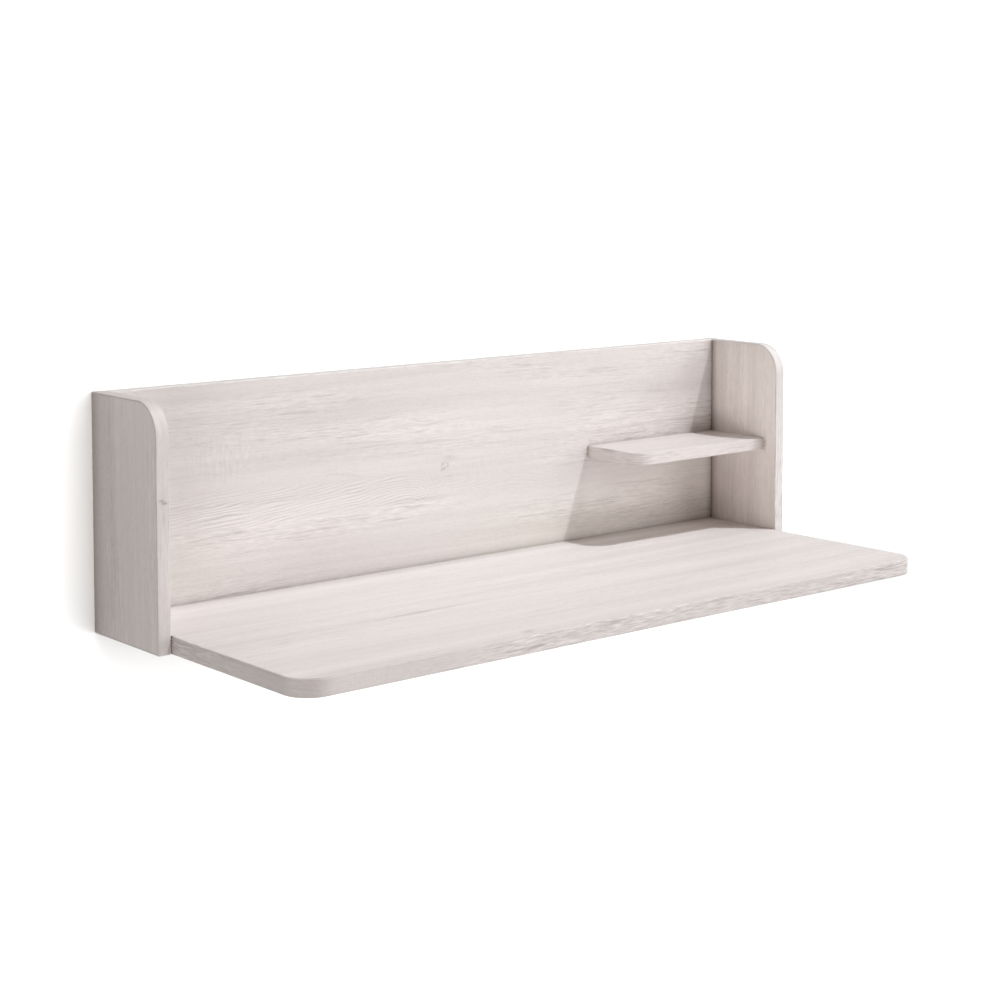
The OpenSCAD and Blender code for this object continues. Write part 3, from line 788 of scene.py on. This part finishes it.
def laminate_board(
    name, node, grain, across, shift, amounts, marks=(), flames=(), corners=(), face=(), lean=None
):
    """A chipboard panel with printed melamine on both faces.

    Its marks keep to one face, and its print can lean to a second colour along one axis: a lit or shaded
    copy of its colour, which paints light and shade on that part.
    """
    mat, wires, shader, place = new_material(name)
    parts = wires.parts(place)
    through = ({X, Y, Z} - {grain, across}).pop()
    middle = middle_of(node, through)
    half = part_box(node)[1][through] - middle
    depth = wires.math("SUBTRACT", parts[through], middle)
    skin = wires.fade(wires.math("ABSOLUTE", depth), half - 2 * FACE_SKIN, half - FACE_SKIN)
    drawn, crossing = draw_marks(wires, parts, parts[across], marks)
    drawn = {drawing: keep_to(wires, parts, mask, face) for drawing, mask in drawn.items()}
    # the drawn marks, painted tone patches among them, and the painted shade in the corners
    darkness = wires.math("ADD", drawn["darkness"], shade_corners(wires, parts, corners))
    lines, share = draw_flames(wires, wires.joined(parts[grain], parts[across], 0.0), flames)
    point = wires.joined(
        wires.math("ADD", parts[grain], shift[0]),
        wires.math("ADD", crossing, shift[1]),
        wires.math("MULTIPLY_ADD", depth, FACES_APART, shift[2]),
    )
    if lean:
        axis, start, end, first, second = lean
        leaning = wires.fade(parts[axis], start, end)
        amounts = {**amounts, "Wood": wires.mixed(leaning, (*first, 1), (*second, 1))}
    wood = wires.placed(
        oak_print,
        Point=point,
        Flame=lines,
        Flame_Share=keep_to(wires, parts, share, face),
        Marks=darkness,
        Cream_Patch=drawn["cream"],
        Ray_Patch=drawn["rays"],
        **amounts,
    )
    core = wires.placed(chipboard, Point=place)
    finish_shader(
        wires,
        shader,
        wires.mixed(skin, core["Color"], wood["Color"]),
        wires.between(skin, core["Roughness"], wood["Roughness"]),
        wires.between(skin, core["Height"], wood["Height"]),
        PRINT_RELIEF,
    )
    return mat


def edge_band(name, width_axis, shift, amounts, marks=(), corners=()):
    """A printed edge band, with its grain along the strip whichever way the strip turns."""
    mat, wires, shader, place = new_material(name)
    parts = wires.parts(place)
    first, second = sorted({X, Y, Z} - {width_axis})
    drawn, _ = draw_marks(wires, parts, parts[width_axis], marks)
    turned = (parts[first], parts[width_axis], parts[second])
    point = wires.joined(*(wires.math("ADD", part, moved) for part, moved in zip(turned, shift)))
    darkness = wires.math("ADD", drawn["darkness"], shade_corners(wires, parts, corners))
    wood = wires.placed(oak_print, Point=point, Marks=darkness, **amounts)
    finish_shader(wires, shader, wood["Color"], wood["Roughness"], wood["Height"], BAND_RELIEF)
    return mat


def metal(name, colour, smoothness, clouds, scratches):
    """The metal of the fittings, plated steel or cast zinc."""
    mat, wires, shader, place = new_material(name)
    shader.inputs["Metallic"].default_value = 1.0
    shader.inputs["Specular IOR Level"].default_value = METAL_GLOSS
    skin = wires.placed(
        plated_metal,
        Point=place,
        Metal=(*colour, 1),
        Smoothness=smoothness,
        Clouds=clouds,
        Scratches=scratches,
    )
    finish_shader(wires, shader, skin["Color"], skin["Roughness"], skin["Height"], METAL_RELIEF)
    return mat


def turned_beech(name):
    """Dowels of beech, with short dark flecks."""
    mat, wires, shader, place = new_material(name)
    wood = wires.placed(
        oak_print,
        Point=place,
        Wood=(*BEECH, 1),
        Cream=(*BEECH_LIGHT, 1),
        Fibres=0.5,
        Lines=0.5,
        Pores=0.35,
    )
    finish_shader(wires, shader, wood["Color"], wood["Roughness"], wood["Height"], BEECH_RELIEF)
    return mat


# how strongly each drawing of the print shows
BACK_PRINT = {"Fibres": 0.27, "Lines": 0.11, "Streaks": 0.12, "Bands": 0.26, "Cream_Share": 0.2}
DESK_PRINT = {"Fibres": 0.14, "Lines": 0.06, "Streaks": 0.15, "Bands": 0.20, "Cream_Share": 0.0}
SHELF_PRINT = {"Fibres": 0.20, "Lines": 0.08, "Streaks": 0.12, "Bands": 0.12, "Cream_Share": 0.0}
LEFT_PRINT = {"Fibres": 0.26, "Lines": 0.08, "Streaks": 0.16, "Bands": 0.10, "Cream_Share": 0.0}
RIGHT_PRINT = {"Fibres": 0.16, "Lines": 0.05, "Streaks": 0.20, "Bands": 0.16, "Cream_Share": 0.0}
BAND_PRINT = {"Fibres": 0.40, "Lines": 0.08, "Streaks": 0.10, "Bands": 0.08, "Cream_Share": 0.0}
LEFT_BAND_PRINT = {**BAND_PRINT, "Wood": (*LEFT_BAND_OAK, 1), "Fibres": 0.8, "Lines": 0.2}
DESK_BAND_PRINT = {**BAND_PRINT, "Wood": (*DESK_BAND_OAK, 1), "Fibres": 0.55, "Lines": 0.16}
SHELF_BAND_PRINT = {**BAND_PRINT, "Wood": (*SHELF_BAND_OAK, 1)}

# the bounds that keep a mark or a shade to one part of a board: axis, start, and way from there
ANYWHERE = ()
BACK_FACE = ((Y, BACK_MIDDLE, DOWN),)
OVER_SHELF = (*BACK_FACE, (X, SHELF_END, UP))
DESK_FACE = ((Z, DESK_MIDDLE, UP),)
SHELF_FACE = ((Z, SHELF_MIDDLE, UP),)
BESIDE_PANELS = (*DESK_FACE, (Y, SIDE_FRONT, UP))
LEFT_OUTSIDE = ((X, LEFT_MIDDLE, DOWN),)
LEFT_INSIDE = ((X, LEFT_MIDDLE, UP),)
RIGHT_OUTSIDE = ((X, RIGHT_MIDDLE, UP),)
RIGHT_INSIDE = ((X, RIGHT_MIDDLE, DOWN),)
NEAR_END = 0.05
DESK_LEFT_END = ((X, INNER_LEFT + NEAR_END, DOWN),)
DESK_RIGHT_END = ((X, INNER_RIGHT - NEAR_END, UP),)
SHELF_FREE_END = ((X, SHELF_END + NEAR_END, DOWN),)

# between these two depths, the desktop's print turns to its front colour, tinted to make up for the lamps:
# painted light
DESK_LEAN_START, DESK_LEAN_END = -0.05, -0.38

# painted shade in the corners between boards and by the wall, with the dark lines of the joints:
# axis, corner, way, reach, amount, then the part of the board that it keeps to
BACK_CORNERS = [
    (Z, DESK_TOP, UP, 0.004, 0.34, BACK_FACE),
    (X, INNER_RIGHT, DOWN, 0.005, 0.32, BACK_FACE),
    (X, INNER_LEFT, UP, 0.005, 0.32, BACK_FACE),
    (Z, SHELF_TOP, UP, 0.005, 0.26, OVER_SHELF),
]
DESK_CORNERS = [
    (Y, BACK_FRONT, DOWN, 0.008, 0.27, DESK_FACE),
    (X, INNER_RIGHT, DOWN, 0.006, 0.16, BESIDE_PANELS),
    (X, INNER_LEFT, UP, 0.006, 0.16, BESIDE_PANELS),
    (X, INNER_RIGHT, DOWN, 0.0012, 0.30, BESIDE_PANELS),
    (X, INNER_LEFT, UP, 0.0012, 0.30, BESIDE_PANELS),
]
SHELF_CORNERS = [
    (Y, BACK_FRONT, DOWN, 0.006, 0.20, ANYWHERE),
    (X, INNER_RIGHT, DOWN, 0.004, 0.15, ANYWHERE),
]
# the side panels' outer faces darken towards the wall with painted shade, their inner faces towards the back
# panel
LEFT_CORNERS = [
    (Y, 0.0, DOWN, 0.016, 0.45, LEFT_OUTSIDE),
    (Y, BACK_FRONT, DOWN, 0.0055, 0.60, LEFT_INSIDE),
]
RIGHT_CORNERS = [
    (Y, 0.0, DOWN, 0.016, 0.45, RIGHT_OUTSIDE),
    (Y, BACK_FRONT, DOWN, 0.0055, 0.45, RIGHT_INSIDE),
    (Y, BACK_FRONT, DOWN, 0.0240, 0.38, RIGHT_INSIDE),
    (Z, DESK_TOP, UP, 0.005, 0.10, RIGHT_INSIDE),
]
# painted shade in the gaps where the bands meet the side panels, and along the top arris, where it dims the
# highlight
DESK_BAND_CORNERS = [
    (Y, SIDE_FRONT, DOWN, 0.0050, 0.95, DESK_LEFT_END),
    (Y, SIDE_FRONT, DOWN, 0.0300, 0.10, DESK_LEFT_END),
    (Y, SIDE_FRONT, DOWN, 0.0050, 0.90, DESK_RIGHT_END),
    (Z, DESK_TOP, DOWN, 0.0012, 0.14, ANYWHERE),
]
SHELF_BAND_CORNERS = [
    (Y, BACK_FRONT, DOWN, 0.0030, 0.55, SHELF_FREE_END),
    (X, INNER_RIGHT, DOWN, 0.0035, 0.35, ANYWHERE),
    (Z, SHELF_TOP, DOWN, 0.0012, 0.08, ANYWHERE),
]

# kind, axes, middle, size, tilt, amount
# tone patches are painted light and shade: darker where the amount is above zero, lighter below it
BACK_MARKS = [
    ("rays", "xz", (-0.365, 0.045), (0.050, 0.030), 0.0, 3.4),
    ("rays", "xz", (0.055, -0.018), (0.045, 0.022), 0.0, 1.8),
    ("tone", "xz", (0.268, -0.075), (0.034, 0.042), 0.0, -0.11),
    ("tone", "xz", (0.405, -0.133), (0.060, 0.014), 0.0, 0.14),
    ("tone", "xz", (0.512, -0.095), (0.022, 0.045), 0.0, -0.15),
    ("tone", "xz", (0.419, 0.055), (0.060, 0.030), 0.0, 0.08),
    ("tone", "xz", (0.505, 0.020), (0.015, 0.014), 0.0, -0.14),
    ("cream", "xz", (0.190, -0.120), (0.160, 0.040), 0.0, 0.9),
    ("cream", "xz", (-0.480, -0.105), (0.100, 0.050), 0.0, 0.8),
    # a cream patch that paints the warmer light in the shade under the shelf
    ("cream", "xz", (0.450, -0.085), (0.120, 0.060), 0.0, 1.0),
    ("tone", "xz", (-0.200, -0.062), (0.120, 0.010), 0.0, 0.03),
    ("tone", "xz", (0.370, -0.070), (0.140, 0.060), 0.0, -0.13),
    ("tone", "xz", (-0.270, 0.050), (0.200, 0.100), 0.0, 0.10),
    ("tone", "xz", (0.080, -0.075), (0.220, 0.030), 0.0, -0.05),
    ("tone", "xz", (-0.280, -0.125), (0.150, 0.020), 0.0, 0.04),
    ("tone", "xz", (0.120, -0.125), (0.160, 0.020), 0.0, -0.06),
    ("knot", "xz", (-0.005, -0.004), (0.0062, 0.0046), 0.0, 0.14),
    ("streak", "xz", (-0.0070, -0.0088), (0.0046, 0.0014), 0.35, 0.26),
    ("streak", "xz", (0.0014, -0.0030), (0.0014, 0.0036), 0.0, 0.20),
    ("streak", "xz", (-0.0075, -0.0020), (0.0030, 0.0020), 0.6, 0.20),
    ("streak", "xz", (0.0067, 0.0067), (0.0110, 0.0032), -0.10, 0.11),
    ("streak", "xz", (-0.006, 0.008), (0.036, 0.0075), 0.0, 0.05),
    ("knot", "xz", (0.031, 0.052), (0.008, 0.003), 0.0, 0.06),
    ("streak", "xz", (-0.174, 0.000), (0.024, 0.0022), -0.16, 0.09),
    ("streak", "xz", (-0.055, -0.047), (0.045, 0.0030), -0.04, 0.10),
    ("streak", "xz", (0.040, -0.060), (0.060, 0.0040), 0.10, 0.05),
    ("streak", "xz", (-0.330, -0.020), (0.110, 0.0030), -0.03, 0.06),
]
DESK_MARKS = [
    ("tone", "xy", (0.273, -0.048), (0.045, 0.016), 0.0, -0.12),
    ("tone", "xy", (-0.560, -0.140), (0.220, 0.120), 0.0, 0.11),
    ("tone", "xy", (-0.100, -0.020), (0.500, 0.022), 0.0, 0.09),
    ("tone", "xy", (0.200, -0.360), (0.550, 0.100), 0.0, -0.04),
    ("tone", "xy", (0.500, -0.100), (0.100, 0.060), 0.0, 0.05),
    # a cream patch that paints the warmer light in the shelf's shadow on the desk
    ("cream", "xy", (0.360, -0.020), (0.160, 0.030), 0.0, 1.0),
    ("streak", "xy", (-0.236, -0.246), (0.052, 0.0030), 0.0, 0.22),
    ("streak", "xy", (-0.245, -0.247), (0.100, 0.0040), 0.0, 0.06),
    ("streak", "xy", (-0.185, -0.411), (0.010, 0.0060), 0.3, 0.20),
    ("streak", "xy", (-0.225, -0.188), (0.110, 0.0040), 0.0, -0.03),
    ("streak", "xy", (-0.420, -0.190), (0.110, 0.0070), 0.02, 0.03),
    ("streak", "xy", (-0.400, -0.143), (0.120, 0.0100), 0.0, 0.02),
    ("streak", "xy", (-0.150, -0.078), (0.090, 0.0090), 0.0, 0.025),
    ("streak", "xy", (-0.470, -0.235), (0.100, 0.0080), 0.0, 0.02),
    ("streak", "xy", (-0.350, -0.348), (0.120, 0.0060), 0.0, 0.02),
    ("streak", "xy", (0.000, -0.255), (0.100, 0.0060), 0.0, 0.02),
]
DESK_BAND_MARKS = [
    ("tone", "xy", (-0.532, -0.290), (0.020, 0.090), 0.0, -0.06),
    ("tone", "xy", (-0.513, -0.4265), (0.022, 0.016), 0.0, 0.23),
    ("tone", "xy", (-0.400, -0.430), (0.100, 0.020), 0.0, 0.05),
]
LEFT_BAND_MARKS = [
    ("streak", "zx", (0.0245, -0.5435), (0.0015, 0.0034), 0.0, 0.36),
    ("streak", "zx", (0.0212, -0.5390), (0.0017, 0.0044), 0.0, 0.40),
    ("streak", "zx", (0.0020, -0.5400), (0.0090, 0.0009), 0.0, 0.18),
    ("streak", "zx", (-0.0300, -0.5450), (0.0200, 0.0009), 0.0, 0.12),
]
RIGHT_BAND_MARKS = [
    ("tone", "zx", (-0.163, 0.541), (0.120, 0.100), 0.0, -0.14),
]
SHELF_BAND_MARKS = [
    ("streak", "yz", (-0.066, -0.0036), (0.012, 0.0020), 0.0, 0.22),
]
SHELF_MARKS = [
    ("tone", "xy", (0.380, -0.030), (0.200, 0.018), 0.0, 0.07),
    ("tone", "xy", (0.520, -0.080), (0.030, 0.050), 0.0, -0.15),
    ("streak", "xy", (0.416, -0.098), (0.008, 0.0035), 0.0, 0.14),
]
LEFT_MARKS = [
    ("tone", "zy", (-0.170, -0.020), (0.140, 0.100), 0.0, 0.05),
    ("tone", "zy", (0.150, -0.060), (0.080, 0.120), 0.0, -0.03),
    ("streak", "zy", (0.085, -0.046), (0.050, 0.010), 0.0, 0.04),
    ("streak", "zy", (-0.030, -0.052), (0.060, 0.009), 0.0, 0.05),
    ("streak", "zy", (-0.105, -0.040), (0.040, 0.012), 0.0, 0.04),
]
RIGHT_MARKS = [
    ("tone", "zy", (0.020, -0.160), (0.250, 0.030), 0.0, -0.07),
    ("tone", "zy", (-0.140, -0.150), (0.060, 0.060), 0.0, -0.10),
    ("tone", "zy", (0.015, -0.075), (0.022, 0.040), 0.0, 0.08),
    # a painted shadow on the inner face just in front of the shelf's end
    ("streak", "yz", (-0.1325, -0.0110), (0.0026, 0.0100), 0.0, 0.42),
    ("streak", "zy", (0.020, -0.054), (0.160, 0.0028), 0.0, -0.05),
    ("streak", "zy", (0.060, -0.098), (0.060, 0.0020), 0.0, 0.04),
]
# peak, the shape where it isn't the usual one, and amount
BACK_FLAMES = [
    ((-0.075, -0.0130), {}, 0.20),
    ((0.120, -0.0180), {"Rise": 0.10, "Top_Rise": 0.06, "Curl": 1.6, "Depth": 0.034, "Reach": 0.13}, 0.08),
]

back_board = laminate_board(
    "laminate_back_panel",
    "back_panel",
    grain=X,
    across=Z,
    shift=(3.1, 0.2, 0.4),
    amounts=BACK_PRINT,
    marks=BACK_MARKS,
    flames=BACK_FLAMES,
    corners=BACK_CORNERS,
    face=BACK_FACE,
)
desk_board = laminate_board(
    "laminate_desktop",
    "desktop",
    grain=X,
    across=Y,
    shift=(1.4, 2.6, 2.9),
    amounts=DESK_PRINT,
    marks=DESK_MARKS,
    corners=DESK_CORNERS,
    face=DESK_FACE,
    lean=(Y, DESK_LEAN_START, DESK_LEAN_END, DESK_OAK, DESK_FRONT_OAK),
)
shelf_board = laminate_board(
    "laminate_corner_shelf",
    "corner_shelf",
    grain=X,
    across=Y,
    shift=(5.2, 4.1, 1.7),
    amounts={**SHELF_PRINT, "Wood": (*SHELF_OAK, 1)},
    marks=SHELF_MARKS,
    corners=SHELF_CORNERS,
    face=SHELF_FACE,
)
# each side panel's shaded face takes a lighter copy of the oak, painted light: the left panel's outside, the
# right panel's inside
left_board = laminate_board(
    "laminate_left_side",
    "left_side_panel",
    grain=Z,
    across=Y,
    shift=(2.3, 6.2, 3.3),
    amounts=LEFT_PRINT,
    marks=LEFT_MARKS,
    corners=LEFT_CORNERS,
    face=LEFT_OUTSIDE,
    lean=(X, LEFT_MIDDLE - FACE_SKIN, LEFT_MIDDLE + FACE_SKIN, LEFT_OAK, OAK),
)
right_board = laminate_board(
    "laminate_right_side",
    "right_side_panel",
    grain=Z,
    across=Y,
    shift=(7.5, 1.2, 5.6),
    amounts=RIGHT_PRINT,
    marks=RIGHT_MARKS,
    corners=RIGHT_CORNERS,
    face=RIGHT_INSIDE,
    lean=(X, RIGHT_MIDDLE - FACE_SKIN, RIGHT_MIDDLE + FACE_SKIN, RIGHT_OAK, OAK),
)
left_band = edge_band(
    "edge_band_left_side",
    width_axis=X,
    shift=(0.6, 3.7, 2.2),
    amounts=LEFT_BAND_PRINT,
    marks=LEFT_BAND_MARKS,
)
right_band = edge_band(
    "edge_band_right_side",
    width_axis=X,
    shift=(0.9, 2.3, 3.6),
    amounts=BAND_PRINT,
    marks=RIGHT_BAND_MARKS,
)
back_band = edge_band(
    "edge_band_back_panel",
    width_axis=Y,
    shift=(4.4, 1.9, 0.8),
    amounts=BAND_PRINT,
)
desk_band = edge_band(
    "edge_band_desktop",
    width_axis=Z,
    shift=(6.3, 5.5, 1.1),
    amounts=DESK_BAND_PRINT,
    marks=DESK_BAND_MARKS,
    corners=DESK_BAND_CORNERS,
)
shelf_band = edge_band(
    "edge_band_shelf",
    width_axis=Z,
    shift=(2.7, 7.4, 4.9),
    amounts=SHELF_BAND_PRINT,
    marks=SHELF_BAND_MARKS,
    corners=SHELF_BAND_CORNERS,
)
plated_steel = metal("zinc_plated_steel", STEEL, smoothness=0.68, clouds=0.25, scratches=0.2)
cast_zinc = metal("cast_zinc", ZINC, smoothness=0.52, clouds=0.45, scratches=0.1)
beech = turned_beech("beech_dowels")

FINISHES = {
    "back_panel": back_board,
    "desktop": desk_board,
    "corner_shelf": shelf_board,
    "left_side_panel": left_board,
    "right_side_panel": right_board,
    "left_side_edge_band": left_band,
    "right_side_edge_band": right_band,
    "left_side_bottom_band": left_band,
    "right_side_bottom_band": right_band,
    "back_panel_top_band": back_band,
    "back_panel_bottom_band": back_band,
    "desktop_edge_band": desk_band,
    "shelf_edge_band": shelf_band,
    "back_panel_cams": cast_zinc,
    "desktop_cams": cast_zinc,
    "back_panel_cam_bolts": plated_steel,
    "desktop_cam_bolts": plated_steel,
    "desktop_rear_screws": plated_steel,
    "shelf_screws": plated_steel,
    "hanging_plates": plated_steel,
    "hanging_plate_screws": plated_steel,
    "back_panel_end_dowels": beech,
    "desktop_end_dowels": beech,
    "desktop_rear_dowels": beech,
    "shelf_end_dowels": beech,
}
for name, finish in FINISHES.items():
    for slot in nodes[name].material_slots:
        slot.material = finish

make_camera()
make_lights(make_backdrop())
make_room()
view = bpy.context.scene.view_settings
view.view_transform = "Standard"
view.look = "None"
